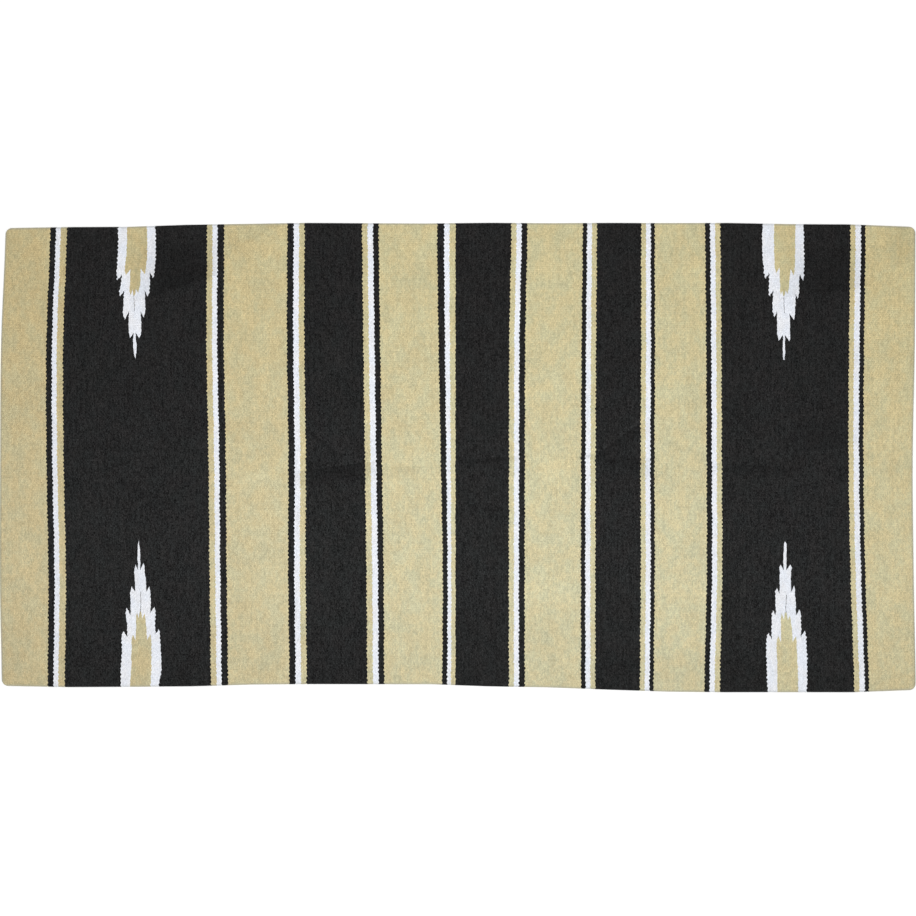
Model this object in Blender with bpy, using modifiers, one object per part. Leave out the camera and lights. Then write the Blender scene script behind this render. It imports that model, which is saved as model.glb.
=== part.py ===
"""Saddle blanket of wool and cotton, 32 by 64 inches, lying flat and open.

X runs along the length, Y across it from the near edge to the far edge, and Z up. The origin is at the
middle of the underside. Every band of one wool is a flat sleeve round the cotton warp, as the weft passes
over and under it and turns back at the long edges. The cloth folds in half at one line between two bands.
"""

import math

import bmesh
import bpy
from mathutils import Vector

# Cloth
CLOTH_LENGTH = 1.626
CLOTH_WIDTH = 0.825
CORNER_RADIUS = 0.012
RIM_RADIUS = 0.0020
WEFT_COVER = 0.0016  # wool over the warp, and as much again under it
EDGE_WALL = 0.0025  # wool outside the edge cord

# Weft bands from the left end to the right end: how wide each is beside the others
BAND_WIDTH_SHARES = {
    "tan_end_left": 0.0511,
    "stripe_1_black": 0.0065,
    "stripe_1_white": 0.0053,
    "stripe_1_tan": 0.0069,
    "black_wide_left": 0.1572,
    "stripe_2_tan": 0.0061,
    "stripe_2_white": 0.0055,
    "stripe_2_black": 0.0072,
    "tan_outer_left": 0.0684,
    "stripe_3_black": 0.0069,
    "stripe_3_white": 0.0060,
    "stripe_3_tan": 0.0060,
    "black_inner_left": 0.0648,
    "stripe_4_tan": 0.0061,
    "stripe_4_white": 0.0061,
    "stripe_4_black": 0.0063,
    "tan_inner_left": 0.0644,
    "stripe_5_black": 0.0064,
    "stripe_5_white": 0.0048,
    "stripe_5_tan": 0.0055,
    "black_middle": 0.0591,
    "stripe_6_tan": 0.0055,
    "stripe_6_white": 0.0055,
    "stripe_6_black": 0.0064,
    "tan_inner_right": 0.0617,
    "stripe_7_black": 0.0049,
    "stripe_7_white": 0.0054,
    "stripe_7_tan": 0.0054,
    "black_inner_right": 0.0490,
    "stripe_8_tan": 0.0052,
    "stripe_8_white": 0.0053,
    "stripe_8_black": 0.0045,
    "tan_outer_right": 0.0568,
    "stripe_9_black": 0.0057,
    "stripe_9_white": 0.0055,
    "stripe_9_tan": 0.0055,
    "black_wide_right": 0.1409,
    "stripe_10_tan": 0.0054,
    "stripe_10_white": 0.0060,
    "stripe_10_black": 0.0048,
    "tan_end_right": 0.0537,
}
FIRST_BAND_OF_RIGHT_HALF = "black_middle"

# Sides, as signs of X and Y
LEFT = -1
RIGHT = 1
NEAR = -1
FAR = 1

# Serrated half-diamonds at the long edges: the band that each lies in, the edge that it stands on,
# its width there and its reach in towards the middle
MOTIFS = {
    "far_left": {"band": "black_wide_left", "edge": FAR, "width": 0.066, "reach": 0.232},
    "near_left": {"band": "black_wide_left", "edge": NEAR, "width": 0.069, "reach": 0.257},
    "far_right": {"band": "black_wide_right", "edge": FAR, "width": 0.074, "reach": 0.240},
    "near_right": {"band": "black_wide_right", "edge": NEAR, "width": 0.069, "reach": 0.265},
}

# Motif outlines. Places along the reach are shares of it, and widths are shares of half the motif's width
BARB_TIP_SHARES = (0.39, 0.54, 0.70, 0.85)
BARB_WIDTH_SHARES = (1.00, 0.86, 0.63, 0.36)
NOTCH_WIDTH_SHARES = (0.77, 0.58, 0.34, 0.08)
SPIKE_WIDTH_SHARE = 0.11
SPIKE_SHOULDER_SHARE = 0.93
CORE_BASE_SHARE = 0.50
CORE_TIP_SHARES = (0.365, 0.49)
CORE_WIDTH_SHARES = (0.58, 0.23)
CORE_NOTCH_SHARES = (0.30, 0)
BARB_SHOULDER_SHARE = 0.02  # how far a barb's shoulder stands back from its tip
BARB_TIP_INSET_SHARE = 0.07
NOTCH_DEPTH_SHARE = 0.045

# Warp
WARP_PITCH = 0.00375
WARP_THREAD = 0.0014
WARP_LIFT = 0.0004  # alternate threads are pressed this far up and down
EDGE_CORD = 0.0022

# Fits
GAP = 0.0003
FOLD_CLEARANCE = 0.0015  # from the upper face to the line that the cloth folds about
OVERRUN = 0.010

CORNER_STEPS = 4
RIM_STEPS = 2
RIM_EDGE_ANGLE = math.radians(60)
CORD_ROUND_STEPS = 2

WOOL = {
    "tan": (0.60, 0.53, 0.32, 1),
    "black": (0.021, 0.021, 0.022, 1),
    "white": (0.80, 0.82, 0.86, 1),
}
COTTON = (0.62, 0.57, 0.47, 1)
WOOL_ROUGHNESS = 0.92
COTTON_ROUGHNESS = 0.85

SLOT_HEIGHT = WARP_THREAD + 2 * WARP_LIFT + 2 * GAP
CLOTH_THICKNESS = SLOT_HEIGHT + 2 * WEFT_COVER
MID_HEIGHT = CLOTH_THICKNESS / 2


def new_collection(name):
    collection = bpy.data.collections.new(name)
    bpy.context.scene.collection.children.link(collection)
    return collection


def new_mesh_object(name, shape, collection):
    """An object whose mesh is taken from a bmesh, which is freed."""
    bmesh.ops.recalc_face_normals(shape, faces=shape.faces)
    mesh = bpy.data.meshes.new(name)
    shape.to_mesh(mesh)
    shape.free()
    piece = bpy.data.objects.new(name, mesh)
    collection.objects.link(piece)
    return piece


def as_cutter(piece):
    piece.hide_render = True
    piece.display_type = "WIRE"
    return piece


def finish(piece, colour, roughness):
    """Gives a piece a material of its own."""
    material = bpy.data.materials.new(piece.name)
    material.use_nodes = True
    shader = material.node_tree.nodes["Principled BSDF"]
    shader.inputs["Base Color"].default_value = colour
    shader.inputs["Roughness"].default_value = roughness
    shader.inputs["Metallic"].default_value = 0
    piece.data.materials.append(material)


def wool_of(name):
    return next(colour for word, colour in WOOL.items() if word in name)


def boolean(piece, operation, other):
    modifier = piece.modifiers.new(f"{operation.lower()} {other.name}", "BOOLEAN")
    modifier.operation = operation
    modifier.solver = "EXACT"
    modifier.object = other


def rounded_outline(inset):
    """The cloth's outline moved in by inset, anticlockwise from the lower right corner."""
    half_length = CLOTH_LENGTH / 2 - inset
    half_width = CLOTH_WIDTH / 2 - inset
    radius = max(CORNER_RADIUS - inset, GAP)
    points = []
    for corner, (side_x, side_y) in enumerate(((1, -1), (1, 1), (-1, 1), (-1, -1))):
        for step in range(CORNER_STEPS + 1):
            turn = math.pi / 2 * (corner - 1 + step / CORNER_STEPS)
            x = side_x * (half_length - radius) + radius * math.cos(turn)
            y = side_y * (half_width - radius) + radius * math.sin(turn)
            points.append(Vector((x, y)))
    return points


def plate(name, outline, low, high, collection):
    """A flat solid with this outline, from one height to another."""
    shape = bmesh.new()
    corners = [shape.verts.new((x, y, low)) for x, y in outline]
    face = shape.faces.new(corners)
    raised = bmesh.ops.extrude_face_region(shape, geom=[face])["geom"]
    top = [vertex for vertex in raised if isinstance(vertex, bmesh.types.BMVert)]
    bmesh.ops.translate(shape, verts=top, vec=(0, 0, high - low))
    return new_mesh_object(name, shape, collection)


def through_plate(name, outline, collection):
    """A plate that runs past both faces of the cloth."""
    return plate(name, outline, -OVERRUN, CLOTH_THICKNESS + OVERRUN, collection)


def moved_in(outline, distance):
    """An anticlockwise outline moved inwards by distance, with its corners kept sharp."""
    moved = []
    for index, point in enumerate(outline):
        before = (point - outline[index - 1]).normalized()
        after = (outline[(index + 1) % len(outline)] - point).normalized()
        inward = Vector((-before.y, before.x)) + Vector((-after.y, after.x))
        moved.append(point + inward * distance / (1 + before.dot(after)))
    return moved


def make_cloth_blank(collection):
    """The whole cloth as one solid with a rounded rim, which every band is cut from."""
    blank = plate("cloth_blank", rounded_outline(0), 0, CLOTH_THICKNESS, collection)
    rim = blank.modifiers.new("rounded rim", "BEVEL")
    rim.width = RIM_RADIUS
    rim.segments = RIM_STEPS
    rim.limit_method = "ANGLE"
    rim.angle_limit = RIM_EDGE_ANGLE
    return as_cutter(blank)


def make_warp_slot(collection):
    """The space inside the wool that the warp and the edge cord fill."""
    low = MID_HEIGHT - SLOT_HEIGHT / 2
    high = MID_HEIGHT + SLOT_HEIGHT / 2
    return as_cutter(plate("warp_slot", rounded_outline(EDGE_WALL), low, high, collection))


def band_lines():
    """X of the two sides of every band."""
    lines = {}
    whole = sum(BAND_WIDTH_SHARES.values())
    left = -CLOTH_LENGTH / 2
    for name, share in BAND_WIDTH_SHARES.items():
        width = CLOTH_LENGTH * share / whole
        lines[name] = (left, left + width)
        left += width
    return lines


def half_at(x):
    """The side of the fold that a place lies on."""
    return LEFT if x < FOLD_X else RIGHT


def make_band(name, blank, slot, collection):
    """One band of weft: a slice of the cloth with the warp's slot through it."""
    names = list(LINES)
    start, end = LINES[name]
    start += -OVERRUN if name == names[0] else GAP / 2
    end += OVERRUN if name == names[-1] else -GAP / 2
    shape = bmesh.new()
    bmesh.ops.create_cube(shape, size=1)
    size = (end - start, CLOTH_WIDTH + 2 * OVERRUN, CLOTH_THICKNESS + 2 * OVERRUN)
    bmesh.ops.scale(shape, verts=shape.verts, vec=size)
    band = new_mesh_object(name, shape, collection)
    band.location = ((start + end) / 2, 0, MID_HEIGHT)
    boolean(band, "INTERSECT", blank)
    boolean(band, "DIFFERENCE", slot)
    finish(band, wool_of(name), WOOL_ROUGHNESS)
    return band


def barbed_side(base, tips, widths, notches):
    """One side of a serrated outline, from the long edge inwards: shares of width and of reach."""
    side = [(base, 0)]
    for tip, width, notch in zip(tips, widths, notches):
        side.append((width, tip - BARB_SHOULDER_SHARE))
        side.append((width - BARB_TIP_INSET_SHARE, tip))
        side.append((notch, tip - NOTCH_DEPTH_SHARE))
    return side


def diamond_side():
    barbs = barbed_side(1, BARB_TIP_SHARES, BARB_WIDTH_SHARES, NOTCH_WIDTH_SHARES)
    return barbs + [(SPIKE_WIDTH_SHARE, SPIKE_SHOULDER_SHARE), (0, 1)]


def core_side():
    return barbed_side(CORE_BASE_SHARE, CORE_TIP_SHARES, CORE_WIDTH_SHARES, CORE_NOTCH_SHARES)


def motif_outline(motif, side):
    """A mirrored outline, anticlockwise, with its base past the long edge."""
    left, right = LINES[motif["band"]]
    middle = (left + right) / 2
    half = motif["width"] / 2
    edge = motif["edge"]
    base = (side[0][0], -OVERRUN / motif["reach"])
    around = [base] + side[1:]
    around += [(-across, along) for across, along in reversed(around) if across]
    points = []
    for across, along in around:
        y = edge * (CLOTH_WIDTH / 2 - along * motif["reach"])
        points.append(Vector((middle + across * half, y)))
    return points if edge == NEAR else points[::-1]


def make_motif(place, motif, black_band, blank, slot, collection, cutters):
    """A white serrated half-diamond let into its black band, with a tan core let into the white."""
    diamond = motif_outline(motif, diamond_side())
    core = motif_outline(motif, core_side())
    diamond_cut = as_cutter(through_plate(f"diamond_cut_{place}", diamond, cutters))
    core_cut = as_cutter(through_plate(f"core_cut_{place}", core, cutters))
    boolean(black_band, "DIFFERENCE", diamond_cut)
    white = through_plate(f"diamond_white_{place}", moved_in(diamond, GAP), collection)
    boolean(white, "INTERSECT", blank)
    boolean(white, "DIFFERENCE", core_cut)
    boolean(white, "DIFFERENCE", slot)
    finish(white, WOOL["white"], WOOL_ROUGHNESS)
    tan = through_plate(f"diamond_core_{place}", moved_in(core, GAP), collection)
    boolean(tan, "INTERSECT", blank)
    boolean(tan, "DIFFERENCE", slot)
    finish(tan, WOOL["tan"], WOOL_ROUGHNESS)
    return [white, tan]


def make_warp(name, side, collection):
    """The warp threads of one half, lifted and lowered in turn, from the edge cord to the fold."""
    inset = EDGE_WALL + EDGE_CORD + 2 * GAP
    half_width = CLOTH_WIDTH / 2 - inset
    radius = max(CORNER_RADIUS - inset, 0)
    threads = int(2 * half_width / WARP_PITCH)
    shape = bmesh.new()
    outer_ends = []
    for thread in range(threads):
        y = (thread - (threads - 1) / 2) * WARP_PITCH
        into_corner = max(abs(y) - (half_width - radius), 0)
        shortened = radius - math.sqrt(radius**2 - into_corner**2)
        x = side * (CLOTH_LENGTH / 2 - inset - shortened)
        lift = WARP_LIFT if thread % 2 else -WARP_LIFT
        outer_ends.append(shape.verts.new((x, y, MID_HEIGHT + lift)))
    for first, second in zip(outer_ends, outer_ends[1:]):
        shape.edges.new((first, second))
    swept = bmesh.ops.extrude_edge_only(shape, edges=shape.edges)["geom"]
    for vertex in swept:
        if isinstance(vertex, bmesh.types.BMVert):
            vertex.co.x = FOLD_X + side * GAP / 2
    warp = new_mesh_object(name, shape, collection)
    thickness = warp.modifiers.new("thread thickness", "SOLIDIFY")
    thickness.thickness = WARP_THREAD
    thickness.offset = 0
    finish(warp, COTTON, COTTON_ROUGHNESS)
    return warp


def make_edge_cord(name, side, collection):
    """The cord of one half: along one long edge, round the end and back along the other edge."""
    inset = EDGE_WALL + GAP + EDGE_CORD / 2
    around = [point for point in rounded_outline(inset) if point.x * side > 0]
    fold_end = FOLD_X + side * GAP / 2
    first, last = (around[0].y, around[-1].y)
    route = [(fold_end, first)] + [tuple(point) for point in around] + [(fold_end, last)]
    curve = bpy.data.curves.new(name, "CURVE")
    curve.dimensions = "3D"
    spline = curve.splines.new("POLY")
    spline.points.add(len(route) - 1)
    for point, (x, y) in zip(spline.points, route):
        point.co = (x, y, MID_HEIGHT, 1)
    curve.bevel_depth = EDGE_CORD / 2
    curve.bevel_resolution = CORD_ROUND_STEPS
    curve.use_fill_caps = True
    cord = bpy.data.objects.new(name, curve)
    collection.objects.link(cord)
    finish(cord, COTTON, COTTON_ROUGHNESS)
    return cord


def carry(pieces, empty):
    """Hangs the pieces of one half on its empty, where they are."""
    bpy.context.view_layer.update()
    for piece in pieces:
        piece.parent = empty
        piece.matrix_parent_inverse = empty.matrix_world.inverted()


def new_empty(name, location, collection):
    empty = bpy.data.objects.new(name, None)
    empty.location = location
    collection.objects.link(empty)
    return empty


for old in list(bpy.data.objects):
    bpy.data.objects.remove(old)

blanket = new_collection("saddle_blanket")
cutters = new_collection("cutters")

LINES = band_lines()
FOLD_X = LINES[FIRST_BAND_OF_RIGHT_HALF][0]

cloth_blank = make_cloth_blank(cutters)
warp_slot = make_warp_slot(cutters)

halves = {LEFT: [], RIGHT: []}
bands = {}
for band_name, (band_start, _) in LINES.items():
    bands[band_name] = make_band(band_name, cloth_blank, warp_slot, blanket)
    halves[half_at(band_start)].append(bands[band_name])

for place, motif in MOTIFS.items():
    pieces = make_motif(place, motif, bands[motif["band"]], cloth_blank, warp_slot, blanket, cutters)
    halves[half_at(LINES[motif["band"]][0])].extend(pieces)

for word, side in (("left", LEFT), ("right", RIGHT)):
    halves[side].append(make_warp(f"warp_threads_{word}", side, blanket))
    halves[side].append(make_edge_cord(f"edge_cord_{word}", side, blanket))

carry(halves[LEFT], new_empty("left_half", (0, 0, 0), blanket))
fold_line = (FOLD_X, 0, CLOTH_THICKNESS + FOLD_CLEARANCE)
carry(halves[RIGHT], new_empty("right_half_on_fold", fold_line, blanket))
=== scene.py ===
import math

import bpy
import numpy as np
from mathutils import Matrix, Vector
from mathutils.geometry import delaunay_2d_cdt


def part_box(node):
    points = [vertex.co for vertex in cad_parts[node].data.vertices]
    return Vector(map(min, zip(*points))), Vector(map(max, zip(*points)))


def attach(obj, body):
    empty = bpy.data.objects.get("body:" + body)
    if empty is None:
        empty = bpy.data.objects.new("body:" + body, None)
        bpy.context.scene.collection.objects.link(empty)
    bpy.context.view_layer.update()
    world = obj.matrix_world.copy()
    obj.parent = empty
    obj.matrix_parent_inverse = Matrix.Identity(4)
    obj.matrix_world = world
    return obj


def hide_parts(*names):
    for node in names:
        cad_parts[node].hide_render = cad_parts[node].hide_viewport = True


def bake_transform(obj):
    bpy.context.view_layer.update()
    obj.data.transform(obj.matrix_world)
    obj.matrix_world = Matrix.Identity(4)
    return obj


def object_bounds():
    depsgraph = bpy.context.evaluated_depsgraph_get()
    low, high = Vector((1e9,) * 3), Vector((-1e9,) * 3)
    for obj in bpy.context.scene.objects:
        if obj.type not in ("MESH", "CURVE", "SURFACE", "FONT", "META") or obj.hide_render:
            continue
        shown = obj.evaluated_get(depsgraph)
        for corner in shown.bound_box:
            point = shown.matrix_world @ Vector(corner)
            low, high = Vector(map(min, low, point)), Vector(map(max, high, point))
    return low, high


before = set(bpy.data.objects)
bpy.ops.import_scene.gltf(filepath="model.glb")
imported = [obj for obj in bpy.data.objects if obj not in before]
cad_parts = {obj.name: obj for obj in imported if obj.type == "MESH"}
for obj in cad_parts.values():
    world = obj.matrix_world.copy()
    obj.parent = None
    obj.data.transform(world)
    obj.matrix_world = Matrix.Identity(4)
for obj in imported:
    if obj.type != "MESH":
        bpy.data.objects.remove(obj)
cad_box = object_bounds()

# The warp: undyed cotton threads, 3.75 mm apart, strung the whole length before any wool goes in. The wool is
# beaten down over them, so they set the ribs of the cloth, and the cloth takes its outline from how evenly
# they were held: slightly drawn in at the ends, with weft lines that stray a few millimetres.
MM = 0.001
low, high = cad_box
HALF_LENGTH = (high.x - low.x) / 2
HALF_WIDTH = (high.y - low.y) / 2
MID_HEIGHT = (high.z + low.z) / 2
WARP_PITCH = 3.75 * MM
WARP_RADIUS = 0.7 * MM
WARP_LIFT = 0.4 * MM
WARP_INSET = 5.3 * MM
WARP_SIDES = 6
WARP_STEP = 26 * MM
FOLD_RINGS = 7
END_HOLD = 60 * MM
TOOTH = 0.7 * MM
TOOTH_REACH = 7 * MM
TOOTH_SEED = 7
PALE_TEETH = 0.7  # where tan meets white
FOLD_TEETH = 0.5  # on the fold line, where they lengthen as the cloth is folded
# round a half-diamond: mm from its middle, and how much of a tooth there
FIGURE_TEETH = ((48, 0), (34, 1), (18, 0.35), (0, 0))
SHARP_ANGLE = math.radians(70)

# where the weft lines stray to, in mm: a place along the cloth, then the shift there at five places from the
# far edge to the near edge
STRAYING = np.array((
    (-813, 8.0, 0.0, -1.6, -2.4, 1.2),
    (-714, 4.3, -2.8, -2.3, 2.0, -0.2),
    (-430, -2.5, -3.2, 0.4, 2.2, 4.8),
    (-285, -0.9, -1.8, 0.7, 0, 2.2),
    (-150, -4.6, -2.0, 0.8, 4.0, 5.3),
    (-31, -5.7, -3.1, 0.8, 4.5, 3.6),
    (-4, 0, 0, 0, 0, 0),
    (106, 4.2, -0.1, -0.7, -1.1, -1.1),
    (234, 1.7, -0.2, -1.1, -1.6, -1.3),
    (338, 0.7, 0.9, -0.1, 0.3, -1.6),
    (455, -2.7, -0.6, 0.3, 0.8, -4.0),
    (711, 0.5, -2.4, -3.2, 0.5, 7.4),
    (813, 2.4, 1.3, -2.5, -0.7, 2.9),
))
# how far the far and near edges lie outside a straight line, in mm, by place along the cloth
EDGES = np.array((
    (-800, -4.8, -4.6),
    (-693, -3.1, -2.5),
    (-586, -2.6, -3.0),
    (-480, 1.0, -3.9),
    (-373, 2.6, -7.1),
    (-266, 4.3, -7.8),
    (-52, 3.3, -7.7),
    (54, 4.5, -3.9),
    (161, 3.7, -2.1),
    (268, 4.4, 2.0),
    (375, 4.0, 5.4),
    (482, 4.3, 6.7),
    (588, 2.2, 6.5),
    (695, 1.8, 6.6),
    (802, -2.4, 2.7),
))
# how unevenly the weft was beaten in: size in mm, then the wave's length across and along the cloth, and its start
BEATING = ((0.25, 93, 310, 0.4), (0.15, 41, -170, 2.1), (0.18, 23, 110, 5.0), (0.18, 13, 60, 1.7))
# how unevenly the warp was spaced, in the same terms
SPACING = ((2.0, 290, -2600, 0.7), (0.5, 83, 900, 2.9), (0.2, 37, -240, 4.4))
# how unevenly the teeth stand, in the same terms, where 1 mm is a whole tooth
TEETH = ((0.35, 31, 97, 1.1), (0.25, 13, -71, 0.2))
# broad swells that the cloth lies in, in the same terms
SWELLS = ((0.30, 520, 410, 1.0), (0.22, -310, 260, 3.4))
# creases, in mm: from (x, y) to (x, y), height and half-width
CREASES = (
    (-698, 12, -449, 8, 0.8, 6),
    (-547, 300, -449, 309, 1.2, 6),
    (-600, -42, -511, -86, 1.1, 6),
    (-267, 47, -212, 7, 1.5, 5),
    (-282, -32, -161, -12, 1.8, 6),
    (-4, -10, 100, -6, 1.1, 6),
    (250, 12, 325, 74, 1.9, 6),
    (249, 8, 325, -6, 1.3, 5),
    (482, -20, 700, -12, 1.0, 7),
    (477, 83, 522, 38, 1.2, 5),
    (-369, 127, -303, 65, 0.7, 6),
    (-405, 12, -307, 20, 0.7, 6),
    (-378, -42, -316, -6, 0.8, 6),
    (361, 20, 432, 3, 0.7, 6),
    (361, -15, 441, -42, 0.8, 6),
    (744, -42, 806, -15, 0.8, 6),
    (229, 8, 235, -3, 1.2, 5),
)
CREASE_END = 0.15  # where in its half wave a crease starts, so that it fades out at its ends

woven_bands = [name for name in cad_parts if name.startswith(("tan_", "stripe_", "black_"))]
bands = sorted((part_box(name)[0].x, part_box(name)[1].x, name) for name in woven_bands)
SIDES = {}
for index, (start, end, name) in enumerate(bands):
    left = start if index == 0 else (bands[index - 1][1] + start) / 2
    right = end if index == len(bands) - 1 else (end + bands[index + 1][0]) / 2
    SIDES[name] = (left, right)
FOLD = SIDES["black_middle"][0]
BEND = 7.5 * MM  # how far either side of the fold line the rows and rings lie closer together


def read_between(table, x):
    """Rows of a table of millimetres, read between the places in its first column."""
    places = table[:, 0] * MM
    return np.stack([np.interp(x, places, column * MM) for column in table.T[1:]], axis=1)


def smooth_across(values, share):
    """A smooth curve through five evenly spaced values, at a share of the way from the first to the last."""
    values = values[:, [0, 0, 1, 2, 3, 4, 4]]
    step = np.clip((share * 4).astype(int), 0, 3)
    t = share * 4 - step
    before, start, end, after = (values[np.arange(len(step)), step + k] for k in range(4))
    bend = 2 * before - 5 * start + 4 * end - after + t * (3 * (start - end) + after - before)
    return start + t / 2 * (end - before + t * bend)


def waves(rows, x, y):
    """The sum of the waves in a table."""
    return sum(
        size * MM * np.sin(2 * np.pi * (y / (across * MM) + x / (along * MM)) + start)
        for size, across, along, start in rows
    )


lines = sorted({side for pair in SIDES.values() for side in pair})
draw = np.random.default_rng(TOOTH_SEED)
swing = {}
for line in lines[1:-1]:
    meeting = {name.split("_")[-1] for name, sides in SIDES.items() if line in sides} & {"tan", "white"}
    swing[line] = draw.choice((-1, 1)) * (PALE_TEETH if len(meeting) == 2 else 1)
for name, (left, right) in SIDES.items():
    if not name.startswith("stripe_"):
        swing |= {left + TOOTH_REACH: 0, right - TOOTH_REACH: 0}
    if name.startswith("black_wide"):
        middle = (left + right) / 2
        for gone, share in FIGURE_TEETH:
            swing |= {middle - gone * MM: share, middle + gone * MM: share}
swing |= {lines[0]: 0, lines[-1]: 0}
swing[FOLD] *= FOLD_TEETH
swing_places = sorted(swing)
swing_values = [swing[place] for place in swing_places]


def toothed(x, y):
    """How far alternate ribs push a colour line to and fro, as the two wools turn round alternate threads."""
    rib = np.cos(np.pi * y / WARP_PITCH)
    uneven = 1 + waves(TEETH, x, y) / MM
    return TOOTH * uneven * np.sign(rib) * np.abs(rib) ** 0.5 * np.interp(x, swing_places, swing_values)


def laid(flat):
    """Where places on the evenly planned cloth come to lie, seen from above."""
    x, y = flat.T
    share = (0.5 - y / (2 * HALF_WIDTH)).clip(0, 1)
    loose = ((HALF_LENGTH - np.abs(x)) / END_HOLD).clip(0, 1)  # the edge cord holds the last picks straight
    along = x + smooth_across(read_between(STRAYING, x), share) + loose * waves(BEATING, x, y) + toothed(x, y)
    far, near = read_between(EDGES, x).T
    across = (far - near) / 2 + y * (1 + (far + near) / (2 * HALF_WIDTH))
    across = across + waves(SPACING, x, y) * (4 * share * (1 - share))
    return np.stack((along, across), axis=1)


def lift(plan):
    """How far the cloth stands up off the floor in its swells and creases."""
    x, y = plan.T
    rest = sum(row[0] for row in SWELLS) * MM
    height = rest + waves(SWELLS, x, y)
    for crease in CREASES:
        x0, y0, x1, y1, size, reach = (value * MM for value in crease)
        run = np.array((x1 - x0, y1 - y0))
        share = (((plan - (x0, y0)) @ run) / (run @ run)).clip(0, 1)
        gone = np.hypot(x - x0 - share * run[0], y - y0 - share * run[1])
        fade = np.sin(np.pi * (CREASE_END + (1 - 2 * CREASE_END) * share))
        height = height + size * np.exp(-((gone / reach) ** 2)) * fade
    return height


def new_piece(name, points, corners, counts, material, flat):
    """A smooth mesh piece from its points, the corners of its faces in a row, how many each face has, its material,
    and where each point lies on the evenly planned cloth."""
    mesh = bpy.data.meshes.new(name)
    mesh.vertices.add(len(points))
    mesh.vertices.foreach_set("co", points.astype(np.float32).ravel())
    mesh.loops.add(len(corners))
    mesh.loops.foreach_set("vertex_index", corners.astype(np.int32))
    mesh.polygons.add(len(counts))
    mesh.polygons.foreach_set("loop_start", (np.cumsum(counts) - counts).astype(np.int32))
    weave = mesh.uv_layers.new(name="weave")
    weave.uv.foreach_set("vector", flat[corners].astype(np.float32).ravel())
    mesh.update(calc_edges=True)
    mesh.validate()
    mesh.shade_smooth()
    mesh.set_sharp_from_angle(angle=SHARP_ANGLE)
    mesh.materials.append(material)
    piece = bpy.data.objects.new(name, mesh)
    bpy.context.scene.collection.objects.link(piece)
    return piece


def tubes(name, rings, material):
    """Closed tubes, from rings given as tube, ring, point round the ring, and x, y, z."""
    count, length, sides, _ = rings.shape
    index = np.arange(count * length * sides).reshape(count, length, sides)
    turned = np.roll(index, -1, axis=2)
    walls = np.stack((index[:, :-1], turned[:, :-1], turned[:, 1:], index[:, 1:]), axis=-1).reshape(-1, 4)
    caps = np.concatenate((index[:, 0, ::-1], index[:, -1]))
    corners = np.concatenate((walls.ravel(), caps.ravel()))
    counts = np.concatenate((np.full(len(walls), 4), np.full(len(caps), sides)))
    flat = np.stack((rings[..., 0].ravel(), np.tile(np.arange(sides) / sides * MM, count * length)), axis=1)
    return new_piece(name, rings.reshape(-1, 3), corners, counts, material, flat)


class Fibre:
    """A shader socket that takes part in plain sums."""

    def __init__(self, tree, socket=None):
        self.tree = tree
        self.socket = socket

    def node(self, kind, settings=(), sockets=(), output=0):
        made = self.tree.nodes.new(kind)
        for name, value in dict(settings).items():
            setattr(made, name, value)
        for name, value in dict(sockets).items():
            self.feed(made.inputs[name], value)
        return Fibre(self.tree, made.outputs[output])

    def feed(self, socket, value):
        if isinstance(value, Fibre):
            self.tree.links.new(value.socket, socket)
        else:
            socket.default_value = value

    def other(self, output):
        return Fibre(self.tree, self.socket.node.outputs[output])

    def maths(self, operation, *values):
        return self.node("ShaderNodeMath", {"operation": operation}, dict(enumerate(values)))

    def __add__(self, value):
        return self.maths("ADD", self, value)

    def __sub__(self, value):
        return self.maths("SUBTRACT", self, value)

    def __rsub__(self, value):
        return self.maths("SUBTRACT", value, self)

    def __mul__(self, value):
        return self.maths("MULTIPLY", self, value)

    def __truediv__(self, value):
        return self.maths("DIVIDE", self, value)

    def __pow__(self, value):
        return self.maths("POWER", self, value)

    __radd__ = __add__
    __rmul__ = __mul__

    def rise(self, start, end):
        """0 below start, 1 above end and smooth between them."""
        settings = {"interpolation_type": "SMOOTHSTEP"}
        return self.node("ShaderNodeMapRange", settings, {"Value": self, "From Min": start, "From Max": end})

    def tint(self, first, second):
        """The first colour where this is 0, and the second where it is 1."""
        return self.node("ShaderNodeMix", {"data_type": "RGBA"}, {0: self, 6: first, 7: second}, output=2)

    def spots(self, along, across, long, wide, detail):
        """Noise whose spots are so long along the cloth and so wide across it."""
        place = self.node("ShaderNodeCombineXYZ", (), {0: along / long, 1: across / wide})
        sockets = {"Vector": place, "Scale": 1, "Detail": detail}
        return self.node("ShaderNodeTexNoise", {"noise_dimensions": "2D"}, sockets)


FIBRE_SPECULAR = 0.15


def new_finish(name, roughness):
    """A material, its shader, and the places along and across the cloth for its nodes to read."""
    material = bpy.data.materials.new(name)
    material.use_nodes = True
    shader = material.node_tree.nodes["Principled BSDF"]
    shader.inputs["Roughness"].default_value = roughness
    shader.inputs["Specular IOR Level"].default_value = FIBRE_SPECULAR
    start = Fibre(material.node_tree)
    place = start.node("ShaderNodeUVMap", {"uv_map": "weave"})
    along = place.node("ShaderNodeSeparateXYZ", (), {0: place})
    return material, shader, along, along.other(1)


COTTON = (0.62, 0.57, 0.47, 1)
COTTON_GROOVE_SHADE = (0.44, 0.39, 0.31, 1)
COTTON_ROUGHNESS = 0.85
COTTON_TWIST = 3.2 * MM
cotton, shader, along, across = new_finish("undyed cotton", COTTON_ROUGHNESS)
turns = along / COTTON_TWIST + across / MM
half_turns = turns.maths("FRACT", turns) * math.pi
strand = half_turns.maths("SINE", half_turns)
# the darker colour is painted shade in the grooves between the turns of the twist
along.feed(shader.inputs["Base Color"], strand.rise(0, 0.6).tint(COTTON_GROOVE_SHADE, COTTON))
bump = {"Strength": 0.6, "Distance": 0.2 * MM, "Height": strand}
along.feed(shader.inputs["Normal"], along.node("ShaderNodeBump", (), bump))


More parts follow.
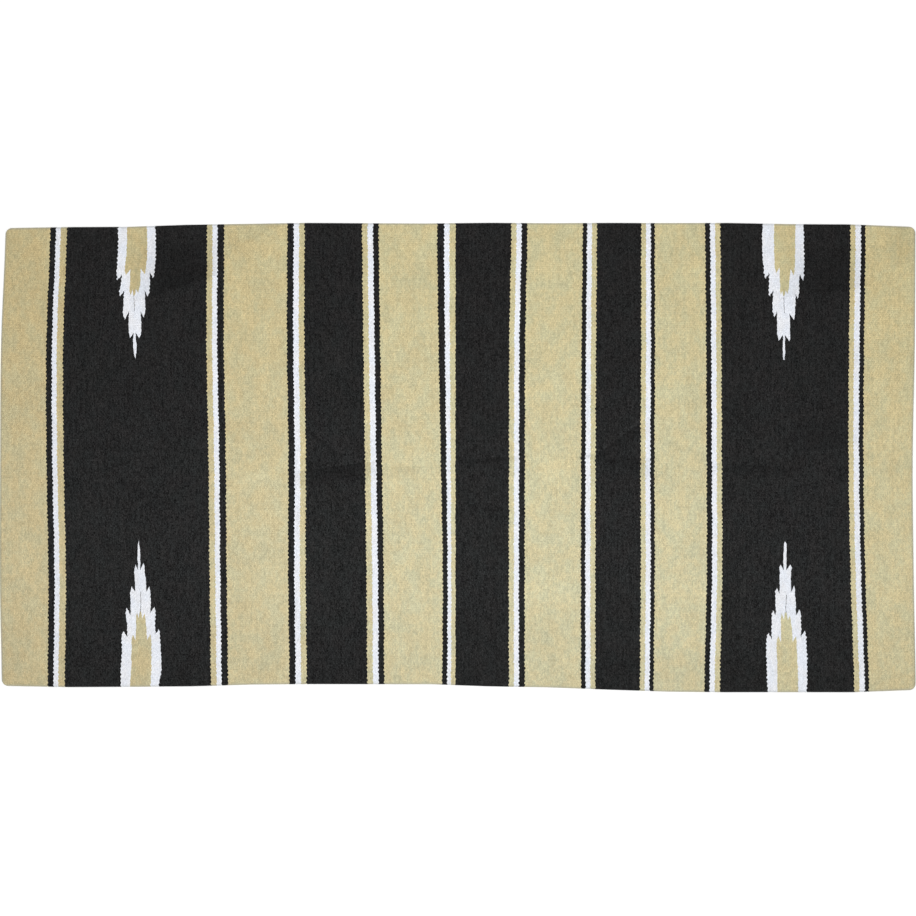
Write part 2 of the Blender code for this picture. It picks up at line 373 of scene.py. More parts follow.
def bend_at_fold(piece):
    """Bakes the piece's place into its mesh; the piece is not bent at the fold."""
    FOLD + BEND
    FOLD - BEND
    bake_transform(piece)


threads = int(2 * (HALF_WIDTH - WARP_INSET) / WARP_PITCH)
thread_places = (np.arange(threads) - (threads - 1) / 2) * WARP_PITCH
round_thread = np.arange(WARP_SIDES) / WARP_SIDES * 2 * np.pi
for half, side in (("left", -1), ("right", 1)):
    near_fold = np.linspace(0, BEND, FOLD_RINGS)
    beyond = np.linspace(BEND, HALF_LENGTH - WARP_INSET - abs(FOLD), int(HALF_LENGTH / WARP_STEP))[1:]
    outward = FOLD + side * np.concatenate((near_fold, beyond))
    along_thread = np.sort(outward.clip(WARP_INSET - HALF_LENGTH, HALF_LENGTH - WARP_INSET))
    flat = np.stack(np.meshgrid(thread_places, along_thread, indexing="ij")[::-1], axis=-1).reshape(-1, 2)
    plan = laid(flat)
    raised = np.where(np.arange(threads) % 2, WARP_LIFT, -WARP_LIFT).repeat(len(along_thread))
    middle = np.column_stack((plan, MID_HEIGHT + lift(plan) + raised)).reshape(threads, -1, 1, 3)
    ring = WARP_RADIUS * np.stack((0 * round_thread, np.cos(round_thread), np.sin(round_thread)), axis=-1)
    warp = tubes(f"warp_{half}", middle + ring, cotton)
    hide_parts(f"warp_threads_{half}")
    bend_at_fold(warp)

# The edge cord: a plied cotton cord that runs all round inside the rim. The weft turns back round it at the
# long edges and the warp is hooked over it at the ends, so the rim is firmer and rounder than the rest.
CORNER_RADIUS = 12 * MM
CORNER_STEPS = 9
CORD_RADIUS = 1.1 * MM
CORD_INSET = 3.9 * MM
CORD_STEP = 1.5 * MM
CORD_SIDES = 12
CORD_PLIES = 3
CORD_LAY = 9 * MM
PLY_GROOVE = 0.14  # as a share of the cord's radius


def rounded_route(side):
    """The cord's route in one half, in even steps from the fold by the near edge round the end and back."""
    half_width = HALF_WIDTH - CORD_INSET
    radius = CORNER_RADIUS - CORD_INSET
    end = side * (HALF_LENGTH - CORD_INSET)
    turn = np.linspace(0, np.pi / 2, CORNER_STEPS)
    corner = np.stack((end - side * radius * (1 - np.sin(turn)), radius * (1 - np.cos(turn)) - half_width), axis=1)
    path = np.concatenate((((FOLD, -half_width),), corner, corner[::-1] * (1, -1), ((FOLD, half_width),)))
    gone = np.concatenate(((0,), np.cumsum(np.hypot(*np.diff(path, axis=0).T))))
    steps = np.linspace(0, gone[-1], int(gone[-1] / CORD_STEP))
    return np.stack([np.interp(steps, gone, column) for column in path.T], axis=1), steps


for half, side in (("left", -1), ("right", 1)):
    flat, gone = rounded_route(side)
    plan = laid(flat) - np.stack((toothed(*flat.T), 0 * gone), axis=1)
    heading = np.gradient(plan, axis=0)
    heading /= np.hypot(*heading.T)[:, None]
    outward = np.stack((heading[:, 1], -heading[:, 0]), axis=1)[:, None]
    angle = np.arange(CORD_SIDES) / CORD_SIDES * 2 * np.pi
    twisted = CORD_PLIES * (angle[None] - 2 * np.pi * gone[:, None] / CORD_LAY / CORD_PLIES)
    reach = CORD_RADIUS * (1 - PLY_GROOVE * (1 - np.cos(twisted)))[..., None]
    flat_part = plan[:, None] + outward * reach * np.cos(angle)[:, None]
    height = (MID_HEIGHT + lift(plan))[:, None, None] + reach * np.sin(angle)[:, None]
    rings = np.concatenate((flat_part, height), axis=-1)[None]
    cord = tubes(f"rim_cord_{half}", rings[:, :, ::-1] if side > 0 else rings, cotton)
    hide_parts(f"edge_cord_{half}")
    bend_at_fold(cord)

# The stripes: thirty narrow runs of wool, four or five picks each, between the broad bands. They are beaten down
# over the warp like all the weft, so each is a row of beads that covers the cotton on both faces, and where two
# wools meet they turn round alternate threads and the line between them is toothed.
UP, DOWN = 1, -1
HALF_THICKNESS = (high.z - low.z) / 2
RIB_DEPTH = 0.4 * MM
RIM = 3 * MM
RIM_STEPS = (0, 0.2 * MM, 0.6 * MM, 1.25 * MM, 2.1 * MM)
RIM_LEAST = 0.15
COLUMN = WARP_PITCH / 6
STRIPE_ROW = 2.2 * MM
BEND_ROW = 0.5 * MM
even_columns = np.arange(-round(HALF_WIDTH / COLUMN), round(HALF_WIDTH / COLUMN) + 1) * COLUMN
rim_columns = (RIM_STEPS[1] - HALF_WIDTH, HALF_WIDTH - RIM_STEPS[1])
COLUMNS = np.sort(np.concatenate((even_columns, rim_columns)))
CREASE_SHADE_PAST = 0.2  # how far past its ends a crease's painted shade and light go on, as a share of its length
# how far the painted light on a crease's other side reaches
CREASE_LIGHT_WIDTH = 6 * MM
# painted shade and light beside the creases, in mm and hundredths: from (x, y) to (x, y), how much darker it is
# painted on its near side, how far that goes at either end (below 0: on its far side), and how much lighter it
# is painted on the other
CREASE_SHADE_ROWS = (
    (-282, -25, -150, -8, 24, 30, 25, 3),
    (-270, 52, -212, 8, 30, 6, 5, 8),
    (-365, 130, -300, 82, 6, 5, 5, 3),
    (-410, 4, -343, 21, 4, 20, 20, 4),
    (-396, -68, -303, -10, -4, -20, -20, 0),
    (-134, -19, -36, -14, 8, 17, 14, 1),
    (14, -6, 100, 2, 24, 10, 9, 0),
    (129, -13, 222, 5, -5, 35, 30, 0),
    (209, 1, 245, 6, 20, 9, 7, 0),
    (249, 5, 328, 64, 20, 8, 26, 22),
    (245, -4, 334, -33, 20, -8, -34, 0),
    (483, 81, 531, 33, 18, -9, -8, 10),
    (467, -11, 592, -18, 17, 20, 18, 4),
    (-548, 283, -425, 325, 24, -75, -75, 2),
    (598, 286, 722, 302, 18, -80, -80, 0),
    (610, 8, 699, 17, 15, -60, -60, 6),
    (-410, 364, -312, 413, 5, -16, -16, 0),
    (730, -34, 807, -21, 5, -13, -13, 0),
    (774, 338, 816, 349, 9, -60, -60, 0),
    (-690, 11, -454, 6, 7, -10, -10, 5),
    (-598, -41, -505, -80, 14, 17, 15, 0),
    (-681, 101, -592, 177, 9, 6, 6, 2),
    (360, 36, 445, 5, 7, 15, 15, 1),
)


def inside(flat):
    """How far a place lies inside the cloth's outline with its rounded corners."""
    beyond = np.abs(flat) - (HALF_LENGTH - CORNER_RADIUS, HALF_WIDTH - CORNER_RADIUS)
    return CORNER_RADIUS - np.hypot(*beyond.clip(0).T) - beyond.max(axis=1).clip(None, 0)


def face_of(flat, side):
    """Places on the upper or the lower face of the cloth: ribs over the warp, rounded off at the rim."""
    plan = laid(flat)
    crest = np.abs(np.cos(np.pi * flat[:, 1] / WARP_PITCH))
    share = (inside(flat) / RIM).clip(0, 1)
    rim = RIM_LEAST + (1 - RIM_LEAST) * np.sqrt(1 - (1 - share) ** 2)
    half = (HALF_THICKNESS - RIB_DEPTH * (1 - crest)) * rim
    return np.column_stack((plan, MID_HEIGHT + lift(plan) + side * half))


def painted_crease_shade(plan):
    """How much lighter or darker the wool is painted beside the creases: painted shade and painted light."""
    x, y = plan.T
    total = 0 * x
    for *ends, darker, start_reach, end_reach, lighter in CREASE_SHADE_ROWS:
        x0, y0, x1, y1 = (value * MM for value in ends)
        length = math.hypot(x1 - x0, y1 - y0)
        run = np.array((x1 - x0, y1 - y0)) / length
        share = ((plan - (x0, y0)) @ run / length).clip(-CREASE_SHADE_PAST, 1 + CREASE_SHADE_PAST)
        fade = np.sin(np.pi * (CREASE_SHADE_PAST + share) / (1 + 2 * CREASE_SHADE_PAST))
        reach = (start_reach + (end_reach - start_reach) * share.clip(0, 1)) * MM
        gone = ((x - x0) * run[1] - (y - y0) * run[0]) * np.sign(reach)
        dark = darker * np.exp(-((gone / reach) ** 4))
        light = lighter * np.exp(-((gone / CREASE_LIGHT_WIDTH) ** 2))
        total = total + fade * np.where(gone > 0, -dark, light) / 100
    return total


def woven(name, flat, corners, counts, material):
    """A run of weft: a flat patch drawn on both faces of the cloth and closed all round."""
    total = len(flat)
    last = np.cumsum(counts)
    first = last - counts
    following = np.arange(1, len(corners) + 1)
    following[last - 1] = first
    start, end = corners, corners[following]
    key = np.minimum(start, end) * total + np.maximum(start, end)
    _, at, times = np.unique(key, return_index=True, return_counts=True)
    rim = at[times == 1]
    walls = np.stack((start[rim], start[rim] + total, end[rim] + total, end[rim]), axis=1)
    turned = np.repeat(first + last - 1, counts) - np.arange(len(corners))
    all_corners = np.concatenate((corners, corners[turned] + total, walls.ravel()))
    all_counts = np.concatenate((counts, counts, np.full(len(walls), 4)))
    points = np.concatenate((face_of(flat, UP), face_of(flat, DOWN)))
    beaten = flat + np.stack((toothed(*flat.T), 0 * flat[:, 0]), axis=1)  # so that the teeth don't bend the beads
    piece = new_piece(name, points, all_corners, all_counts, material, np.concatenate((beaten, beaten)))
    # painted shade and light beside the creases, kept on every point for the wool to read
    lie = piece.data.attributes.new("painted_crease_shade", "FLOAT", "POINT")
    lie.data.foreach_set("value", np.tile(painted_crease_shade(points[:total, :2]), 2).astype(np.float32))
    return piece


def band_patch(rows):
    """A flat patch over the whole width of the cloth, with these rows along it."""
    along, across = np.meshgrid(rows, COLUMNS, indexing="ij")
    corner = (np.abs(across) - (HALF_WIDTH - CORNER_RADIUS)).clip(0)
    end = HALF_LENGTH - CORNER_RADIUS + np.sqrt((CORNER_RADIUS**2 - corner**2).clip(0))
    half = HALF_LENGTH - CORNER_RADIUS
    past = np.abs(along) - half
    along = np.where(past > 0, np.sign(along) * (half + past * (end - half) / CORNER_RADIUS), along)
    flat = np.stack((along.ravel(), across.ravel()), axis=1)
    index = np.arange(len(flat)).reshape(along.shape)
    quads = np.stack((index[:-1, :-1], index[1:, :-1], index[1:, 1:], index[:-1, 1:]), axis=-1).reshape(-1, 4)
    return flat, quads.ravel(), np.full(len(quads), 4)


WOOL_ROUGHNESS = 0.92
PLAIN = (1, 1, 1, 1)
BEAD = 2.4 * MM
BEAD_NARROWS = 1.5
BEAD_LEANS = 0.3
BEAD_SLACK = 0.9
HAIR_LEANS = 0.3
FLECK_EDGE = 0.08
RIM_SHADE_REACH = (5 * MM, 1 * MM)  # how far in from the rim the wool starts to take painted shade, and takes it fully
# where the tones of the ends and edges come in or run out, in metres along and across the cloth
LEFT_TONE, RIGHT_TONE = (-0.75, 0.1), (0.35, 0.8)
# the tones at the far and near edges are painted shade, darker towards both long edges
FAR_TONE, NEAR_TONE = (-0.25, 0.42), (-0.42, -0.20)
# what varies over the wool: how long it is along the cloth and how wide across it in mm, and its finer detail
VARIED = {
    "slack": (14, 9, 1),  # the picks wander by it
    "hair": (0.16, 1.7, 3),
    "strand": (0.5, 2.6, 1),
    "specks": (0.3, 2.2, 1),
    "grain": (1.5, 2.9, 2),
    "run": (3, 38, 1),  # a few picks of one shade
    "course": (4, 700, 1),  # a shade that goes from edge to edge
    "tint": (5, 6, 3),
    "patch": (7, 9, 2),
    "drift": (24, 32, 2),
    "broad": (45, 70, 2),
}


def wool(
    name, warm, cool, depth, fibre, fleck, fleck_share, speckle, streak, cloud, lie, rim_shade, sheen,
    left=PLAIN, right=PLAIN, far=PLAIN, near=PLAIN,
):
    """Heathered wool. Its colour drifts between a warm and a cool one, with other tones at the left and right ends
    and painted shade towards the far and near edges. Every bead of yarn, every pick and every patch of the cloth
    is a little lighter or darker, with painted shade in the gaps round each bead and painted shade and light beside
    the creases. It carries short flecks, and its rim carries painted shade where it rounds off."""
    material, shader, along, across = new_finish(name, WOOL_ROUGHNESS)
    shader.inputs["Sheen Weight"].default_value = sheen

    def varied(kind, place=along):
        long, wide, detail = VARIED[kind]
        return along.spots(place, across, long * MM, wide * MM, detail)

    slack = varied("slack")
    humps = []
    places = []
    for odd in (0, 1):  # the beads over even threads, then those over odd threads, half a bead further on
        ribs = across / (2 * WARP_PITCH) + odd / 2
        thread = ribs.maths("ROUND", ribs)
        off = (ribs - thread) * 2
        beads = along / BEAD + odd / 2 + off * BEAD_LEANS + slack * BEAD_SLACK
        pick = beads.maths("FLOOR", beads)
        share = (beads - pick) * 2 - 1
        hump = 1 - share * share - off * off * BEAD_NARROWS
        humps.append(hump.maths("MAXIMUM", hump, 0) ** 0.5)
        places.append(along.node("ShaderNodeCombineXYZ", (), {0: pick, 1: thread * 2 - odd}))
    hump = slack.maths("MAXIMUM", *humps)
    place = slack.maths("GREATER_THAN", humps[1], humps[0]).tint(*places)
    bead = along.node("ShaderNodeTexWhiteNoise", {"noise_dimensions": "2D"}, {"Vector": place})

    slanted = along + across * HAIR_LEANS
    hair = varied("hair", slanted)
    strand = varied("strand", slanted)
    run = varied("run", along + slack * BEAD)
    colour = (varied("tint") * 0.35 + varied("drift") * 0.85 - 0.1).rise(0.3, 0.7).tint(warm, cool)
    end_tones = along.rise(*LEFT_TONE).tint(left, PLAIN), along.rise(*RIGHT_TONE).tint(PLAIN, right)
    # painted shade: the wool is painted darker towards the far and near edges
    edge_tones = across.rise(*FAR_TONE).tint(PLAIN, far), across.rise(*NEAR_TONE).tint(near, PLAIN)
    for tone in end_tones + edge_tones:
        colour = along.node("ShaderNodeVectorMath", {"operation": "MULTIPLY"}, {0: colour, 1: tone})

    # each term below comes to nothing on average, so that the colours stay as they are written
    beads_and_grain = bead * 0.35 + varied("grain") * 1.3 - 0.825
    runs = run * 0.7 + varied("course") * 0.3 - 0.5
    clouds = varied("patch") + varied("broad") * 0.6 - 0.8
    hairs = hair + strand * 0.5 - 0.75
    strength = 1 + beads_and_grain * speckle + runs * streak + clouds * cloud
    # painted shade in the gaps round each bead, as deep as depth says
    strength = strength * (1 - depth * (1 - hump)) * (1 + fibre * hairs)
    # painted shade and light beside the creases, as strong as lie says
    strength = strength * (1 + lie * along.node("ShaderNodeAttribute", {"attribute_name": "painted_crease_shade"}, output=2))
    shaded = along.node("ShaderNodeVectorMath", {"operation": "SCALE"}, {"Vector": colour, "Scale": strength})
    colour = (varied("specks", slanted).rise(fleck_share, fleck_share + FLECK_EDGE) * 0.5).tint(shaded, fleck)
    from_end = HALF_LENGTH - along.maths("ABSOLUTE", along)
    from_edge = HALF_WIDTH - across.maths("ABSOLUTE", across)
    from_rim = along.maths("MINIMUM", from_end, from_edge)
    # painted shade round the rounded rim, in the colour rim_shade
    colour = (from_rim.rise(*RIM_SHADE_REACH) * 0.6).tint(colour, rim_shade)
    along.feed(shader.inputs["Base Color"], colour)
    along.feed(shader.inputs["Roughness"], 0.84 + 0.14 * hair)
    bump = {"Strength": 0.8, "Distance": 0.7 * MM, "Height": hump + strand * 0.25 + hair * 0.3}
    along.feed(shader.inputs["Normal"], along.node("ShaderNodeBump", (), bump))
    return material


# in each wool, depth is painted shade round the beads, lie painted shade and light beside the creases, far and near
# painted shade towards the long edges, and rim_shade the colour of the painted shade round the rim
WOOLS = {
    "tan": wool(
        "heathered tan wool",
        warm=(0.704, 0.626, 0.382, 1),
        cool=(0.666, 0.640, 0.420, 1),
        left=(0.944, 0.888, 0.832, 1),
        right=(1.010, 0.978, 0.925, 1),
        far=(0.935, 0.903, 0.823, 1),
        near=(0.943, 0.933, 0.925, 1),
        depth=0.20,
        fibre=0.45,
        fleck=(0.30, 0.27, 0.18, 1),
        fleck_share=0.70,
        speckle=0.52,
        streak=0.24,
        cloud=0.27,
        lie=1.1,
        rim_shade=(0.42, 0.41, 0.31, 1),
        sheen=0.10,
    ),
    "black": wool(
        "charcoal black wool",
        warm=(0.0204, 0.0200, 0.0198, 1),
        cool=(0.0188, 0.0202, 0.0202, 1),
        far=(0.765, 0.74, 0.74, 1),
        near=(0.83, 0.83, 0.83, 1),
        depth=0.40,
        fibre=1.2,
        fleck=(0.085, 0.085, 0.080, 1),
        fleck_share=0.72,
        speckle=2.55,
        streak=1.20,
        cloud=0.50,
        lie=1.6,
        rim_shade=(0.0120, 0.0120, 0.0120, 1),
        sheen=0.03,
    ),
    "white": wool(
        "bleached white wool",
        warm=(0.875, 0.885, 0.92, 1),
        cool=(0.850, 0.885, 0.955, 1),
        depth=0.12,
        fibre=0.22,
        fleck=(0.70, 0.71, 0.70, 1),
        fleck_share=0.72,
        speckle=0.32,
        streak=0.08,
        cloud=0.14,
        lie=1,
        rim_shade=(0.62, 0.64, 0.65, 1),
        sheen=0.10,
    ),
}


def finish_weft(piece, node):
    """Puts a run of weft in its node's place, on the half that it lies in, or with its place baked in at the fold.
    """
    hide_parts(node)
    if node in ("stripe_5_tan", "black_middle"):
        bend_at_fold(piece)
    else:
        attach(piece, "left_half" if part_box(node)[0].x < FOLD else "right_half")


stripes = {}
for node, (left, right) in SIDES.items():
    if not node.startswith("stripe_"):
        continue
    colour = node.split("_")[-1]
    step = BEND_ROW if node == "stripe_5_tan" else STRIPE_ROW
    rows = np.linspace(left, right, 1 + max(round((right - left) / step), 3))
    stripe = woven(f"{node}_wool", *band_patch(rows), WOOLS[colour])
    finish_weft(stripe, node)
    stripes[node] = stripe

# The half-diamonds: four white serrated figures that stand on the long edges, each round a tan core. They are
# woven at the same time as the black ground with wools of their own, which interlock round shared threads. Down
# the middle, past the core, two white wools meet and leave a short slit.
GROUND_ROWS = 36
NEARNESS = 0.02  # mm, within which two points of the plan are one
SPLIT_FACES = 4  # asks for the faces that the outlines cut the ground into
FILLS = {"core": "tan", "slit": "gap", "white": "white"}  # what fills each outline, the innermost first
# the outlines of each white figure, its core and its slit, from the left end of the base round to the right end: mm
# to the right of the band's middle, then mm in from the long edge
FIGURES = {
    "far_left": {
        "white": (
            (-34.5, -13), (-34, 33.5), (-34, 53), (-35, 82), (-33.5, 96.5), (-25.5, 85.5), (-27, 106), (-30, 117),
            (-27.5, 126), (-21, 115.5), (-21.5, 142.5), (-22, 156.5), (-18, 167.5), (-11, 152.5), (-11, 165.5),
            (-11, 189), (-8.5, 200.5), (-2, 191), (-3.5, 212), (-2, 226), (0.5, 236.5), (2.5, 226), (3, 212),
            (1, 191), (8, 201), (11, 194.5), (11.5, 178.5), (10, 153), (15.5, 164.5), (18, 156), (17, 134.5),
            (16.5, 115.5), (21, 127.5), (25, 120), (25.5, 101.5), (25, 82.5), (31, 94), (33, 85.5), (34, 73),
            (34.5, 51.5), (34.5, 26), (33, -11.5),
        ),
        "core": (
            (-18, -13), (-18, 17.5), (-18.5, 51.5), (-20.5, 71), (-20.5, 78.5), (-17.5, 86.5), (-10, 76),
            (-10.5, 104), (-11.5, 117.5), (-9, 124.5), (-6, 113.5), (-4, 124.5), (-1.5, 125), (0.5, 113),
            (4.5, 120.5), (6.5, 112.5), (8, 105), (8.5, 75.5), (15.5, 86.5), (17.5, 79.5), (18, 72.5), (19, 58),
            (19, 25.5), (17.5, -12),
        ),
        "slit": ((-4.2, 119.5), (-2.06, 153.5), (-0.94, 153.5), (-2.8, 119.5)),
    },
    "near_left": {
        "white": (
            (-29, -13.5), (-30, 26), (-29.5, 40), (-28.5, 56), (-28, 74), (-28.5, 90), (-25.5, 99.5), (-18, 89),
            (-19, 114.5), (-22, 132.5), (-20, 142), (-13, 127), (-13, 149), (-13, 169.5), (-11, 180.5),
            (-4.5, 170.5), (-4.5, 185.5), (-6, 204), (-5.5, 211.5), (-4, 221), (1, 209.5), (-0.5, 232), (0.5, 250),
            (2.5, 264.5), (4.5, 250), (4.5, 231.5), (4.5, 209.5), (10, 223.5), (12, 217), (12.5, 205.5), (15, 187),
            (15.5, 170), (21, 180), (22.5, 170.5), (23, 154), (22, 131), (29, 142.5), (31.5, 133.5), (30, 117.5),
            (31, 93.5), (37, 102), (39, 94.5), (39.5, 78.5), (41, 55.5), (41, 34), (40, 20), (37, 7.5), (36.5, -14),
        ),
        "core": (
            (-13.5, -13.5), (-13, 13.5), (-11, 43.5), (-12, 56), (-10.5, 72), (-11, 84.5), (-8, 93), (-3.5, 82.5),
            (-3, 107), (-3, 125), (-1.5, 132.5), (1.5, 121.5), (3, 134), (5.5, 134), (8, 121), (11.5, 131),
            (13, 123), (14.5, 109), (17, 83), (22, 93.5), (24, 85.5), (24, 61), (23.5, 32.5), (23, 18.5),
            (22.5, -14),
        ),
        "slit": ((3.8, 128.5), (4.94, 171), (6.06, 171), (5.2, 128.5)),
    },
    "far_right": {
        "white": (
            (-40, -7), (-41, 26.5), (-40.5, 44.5), (-40, 62), (-38.5, 77.5), (-38, 88), (-35, 97), (-28.5, 85.5),
            (-29, 103), (-29.5, 119), (-28, 127.5), (-21.5, 116), (-22, 134.5), (-22.5, 154), (-19, 163.5),
            (-14.5, 153), (-14.5, 169), (-14.5, 193.5), (-12, 205), (-4.5, 193.5), (-4, 209.5), (-4.5, 225),
            (-3, 240), (-1, 240), (0, 224.5), (-0.5, 209.5), (-1, 193.5), (7, 205.5), (9, 198.5), (8, 188),
            (9, 168.5), (7.5, 157), (15.5, 167.5), (17, 162), (17.5, 153.5), (18, 137.5), (18.5, 122.5), (22, 131),
            (24.5, 121.5), (24, 106), (25, 88), (31, 99.5), (33, 89), (33.5, 78.5), (33.5, 61), (32.5, 38), (32, 15),
            (31, -8),
        ),
        "core": (
            (-19.5, -7.5), (-20.5, 26), (-19.5, 47.5), (-19, 65), (-19, 79), (-16.5, 87), (-10.5, 77), (-10, 91),
            (-9.5, 106), (-9.5, 118.5), (-8, 123.5), (-5.5, 117.5), (-4, 125.5), (-1, 125), (0.5, 116.5), (4, 122.5),
            (5, 116.5), (6.5, 106), (7.5, 94), (9.5, 79.5), (14.5, 90.5), (16.5, 84), (17, 75), (17.5, 43.5),
            (16.5, 22), (19, -8),
        ),
        "slit": ((-3.2, 120), (-2.06, 156), (-0.94, 156), (-1.8, 120)),
    },
    "near_right": {
        "white": (
            (-32, -11), (-33.5, 10), (-34, 35), (-35.5, 67), (-36, 81), (-35, 99), (-31.5, 105), (-26.5, 93.5),
            (-26, 120), (-26, 137.5), (-24.5, 145), (-19, 136), (-19.5, 156), (-20.5, 176.5), (-17, 182.5),
            (-12.5, 172.5), (-12, 192), (-11.5, 208.5), (-12.5, 218.5), (-10, 223.5), (-4.5, 213.5), (-5.5, 230.5),
            (-4.5, 248), (-4.5, 260), (-2.5, 264), (0, 260), (0.5, 248), (0, 230.5), (0, 213.5), (7, 224),
            (10, 218.5), (8.5, 212), (8, 192), (7.5, 175), (13.5, 187), (14.5, 182), (15, 170), (16, 154.5),
            (16, 136), (22.5, 146.5), (24.5, 139.5), (25.5, 118.5), (24.5, 98), (31.5, 109.5), (34, 99), (34, 77.5),
            (34.5, 56.5), (34.5, 17), (33.5, -11),
        ),
        "core": (
            (-16.5, -11), (-16.5, 13.5), (-16, 35), (-17, 58.5), (-18, 77.5), (-17.5, 93.5), (-15, 100),
            (-10.5, 88.5), (-9.5, 109.5), (-10, 131), (-9, 140.5), (-4.5, 129), (-3.5, 141), (-0.5, 141), (2.5, 128),
            (5.5, 136), (7.5, 127.5), (9.5, 109.5), (10, 89), (16, 100), (17, 92), (17, 83), (17.5, 58.5), (19, 35),
            (19, 13.5), (20, -11),
        ),
        "slit": ((-2.7, 136), (-1.06, 171), (0.06, 171), (-1.3, 136)),
    },
}


def figure_outline(place, kind):
    """One closed outline of a figure, in mm, anticlockwise, its base past the long edge."""
    depth, side = place.split("_")
    middle = sum(SIDES[f"black_wide_{side}"]) / 2
    edge = 1 if depth == "far" else -1
    points = [
        Vector((middle / MM + right, edge * (HALF_WIDTH / MM - inward)))
        for right, inward in FIGURES[place][kind]
    ]
    return points if edge > 0 else points[::-1]


def part_of(places, pieces):
    """Only the points that these faces use, their corners in a row, and how many each face has."""
    corners = np.array([corner for piece in pieces for corner in piece])
    used, corners = np.unique(corners, return_inverse=True)
    return places[used], corners.ravel(), np.array([len(piece) for piece in pieces])


figures = {}
grounds = {}
for ground in ("black_wide_left", "black_wide_right"):
    flat, corners, counts = band_patch(np.linspace(*SIDES[ground], GROUND_ROWS))
    places = [Vector(place) for place in flat / MM]
    faces = corners.reshape(-1, 4).tolist()
    quads = len(faces)
    owners = []
    here = [place for place in FIGURES if place.split("_")[1] == ground.split("_")[2]]
    for place in here:
        for kind in ("white", "core", "slit"):
            outline = figure_outline(place, kind)
            faces.append(list(range(len(places), len(places) + len(outline))))
            places += outline
            owners.append((place, kind))
    places, _, pieces, _, _, origins = delaunay_2d_cdt(places, [], faces, SPLIT_FACES, NEARNESS)
    places = np.array(places) * MM
    sorted_pieces = {}
    for piece, origin in zip(pieces, origins):
        if not any(index < quads for index in origin):
            continue
        inside_of = dict(owners[index - quads][::-1] for index in origin if index >= quads)
        colour = next((FILLS[kind] for kind in FILLS if kind in inside_of), "black")
        place = next(iter(inside_of.values()), None)
        sorted_pieces.setdefault((place, colour), []).append(piece)
    grounds[ground] = part_of(places, sorted_pieces[None, "black"])
    for place in here:
        for colour, node in (("white", f"diamond_white_{place}"), ("tan", f"diamond_core_{place}")):
            piece = woven(f"{node}_wool", *part_of(places, sorted_pieces[place, colour]), WOOLS[colour])
            finish_weft(piece, node)
            figures[node] = piece

# The broad bands: six tan and five black, of the same wool and beat as the stripes. The two wide black ones are
# the ground round the half-diamonds. The end bands close over the edge cord with a rounded rim and corners.
BROAD_ROW = 5 * MM
STRIPES_BETWEEN = 3


def broad_rows(node):
    """The rows of a broad band, closer together at an end's rim and at the fold."""
    left, right = SIDES[node]
    rows = np.linspace(left, right, 1 + round((right - left) / BROAD_ROW))
    rim = np.array(RIM_STEPS)
    if node == "tan_end_left":
        rows = np.concatenate((left + rim, rows[rows > left + RIM]))
    if node == "tan_end_right":
        rows = np.concatenate((rows[rows < right - RIM], right - rim[::-1]))
    if node == "black_middle":
        curved = np.arange(left, FOLD + BEND + BEND_ROW, BEND_ROW)
        rows = np.concatenate((curved, rows[rows > curved[-1] + BEND_ROW]))
    return rows


order = list(SIDES)
for node, (left, right) in SIDES.items():
    if node.startswith("stripe_"):
        continue
    colour = node.split("_")[0]
    patch = grounds[node] if node in grounds else band_patch(broad_rows(node))
    band = woven(f"{node}_wool", *patch, WOOLS[colour])
    finish_weft(band, node)
    after = [stripes[name] for name in order[order.index(node) + 1:][:STRIPES_BETWEEN]]
    flat_area = None
    for place in FIGURES:
        if node == f"black_wide_{place.split('_')[1]}":
            after += [figures[f"diamond_white_{place}"], figures[f"diamond_core_{place}"]]
            across_base, inward = np.array(FIGURES[place]["white"]).T * MM
            figure_area = abs(np.trapz(inward.clip(0), across_base))
            flat_area = (flat_area or (right - left) * 2 * HALF_WIDTH) - figure_area
    right - left

# The floor that the blanket is spread out on: a plain pale sheet, which shows white to the camera and keeps the
# soft shadow of the rim. Two square lamps give an even, soft light from above it.
FLOOR_SIZE = 12
FLOOR_DROP = 0.8 * MM
FLOOR_COLOUR = (0.8, 0.8, 0.8, 1)
GLOW, FAR_GLOW = 0.34, 0.36  # what the floor adds of its own near the blanket, and how much more far off
GLOW_GROWS = (1.0, 3.5)
SKY_COLOUR = (0.5, 0.5, 0.5, 1)
BLACK, WHITE = (0, 0, 0, 1), (1, 1, 1, 1)
bpy.ops.mesh.primitive_plane_add(size=FLOOR_SIZE, location=(0, 0, low.z - FLOOR_DROP))
floor = bpy.context.object
floor.name = "floor"
paper = bpy.data.materials.new("white floor")
paper.use_nodes = True
shader = paper.node_tree.nodes["Principled BSDF"]
shader.inputs["Base Color"].default_value = FLOOR_COLOUR
shader.inputs["Roughness"].default_value = 1
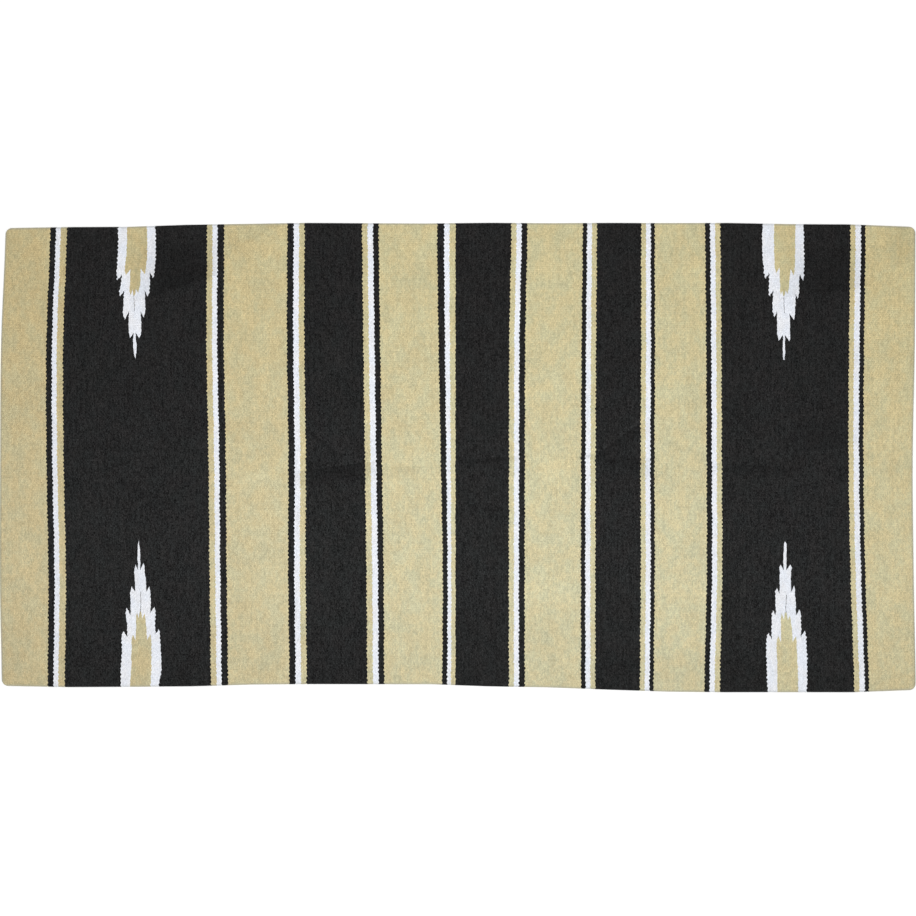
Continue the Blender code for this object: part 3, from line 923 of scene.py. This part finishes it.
shader.inputs["Specular IOR Level"].default_value = 0
shader.inputs["Emission Strength"].default_value = 1
to_camera = Fibre(paper.node_tree).node("ShaderNodeLightPath")
spot = to_camera.node("ShaderNodeTexCoord", output=3)
away = spot.node("ShaderNodeVectorMath", {"operation": "LENGTH"}, {0: spot}, output=1)
glow = (to_camera * (GLOW + FAR_GLOW * away.rise(*GLOW_GROWS))).tint(BLACK, WHITE)
glow.feed(shader.inputs["Emission Color"], glow)
floor.data.materials.append(paper)

world = bpy.data.worlds.new("studio")
bpy.context.scene.world = world
world.use_nodes = True
sky = world.node_tree.nodes["Background"]
seen = Fibre(world.node_tree).node("ShaderNodeLightPath")
seen.feed(sky.inputs["Color"], seen.tint(SKY_COLOUR, WHITE))


def soft_lamp(name, size, power, place, aim):
    """A square lamp at a place, turned towards what it lights."""
    lamp = bpy.data.lights.new(name, "AREA")
    lamp.shape = "SQUARE"
    lamp.size = size
    lamp.energy = power
    holder = bpy.data.objects.new(name, lamp)
    bpy.context.scene.collection.objects.link(holder)
    holder.location = place
    holder.rotation_euler = (Vector(aim) - Vector(place)).to_track_quat("-Z", "Y").to_euler()


soft_lamp("overhead softbox", 1.2, 28.5, (0.02, 0.15, 2.2), (0.02, 0.15, 0))
soft_lamp("side softbox", 1.0, 9, (0, -2.0, 1.5), (0, 0, 0))

# The camera looks straight down on the middle of the cloth from high up, as in the photograph, and takes in hardly
# more than the cloth's length.
VIEW_WIDTH = 1.6309
VIEW_HEIGHT = 3.6
VIEW_MIDDLE = (0.7 * MM, -1.9 * MM)
SENSOR_WIDTH = 36
camera_data = bpy.data.cameras.new("camera")
camera_data.sensor_width = SENSOR_WIDTH
camera_data.lens = SENSOR_WIDTH * VIEW_HEIGHT / VIEW_WIDTH
camera = bpy.data.objects.new("camera", camera_data)
camera.location = (*VIEW_MIDDLE, high.z + VIEW_HEIGHT)
bpy.context.scene.collection.objects.link(camera)
bpy.context.scene.camera = camera
bpy.context.scene.view_settings.view_transform = "Standard"
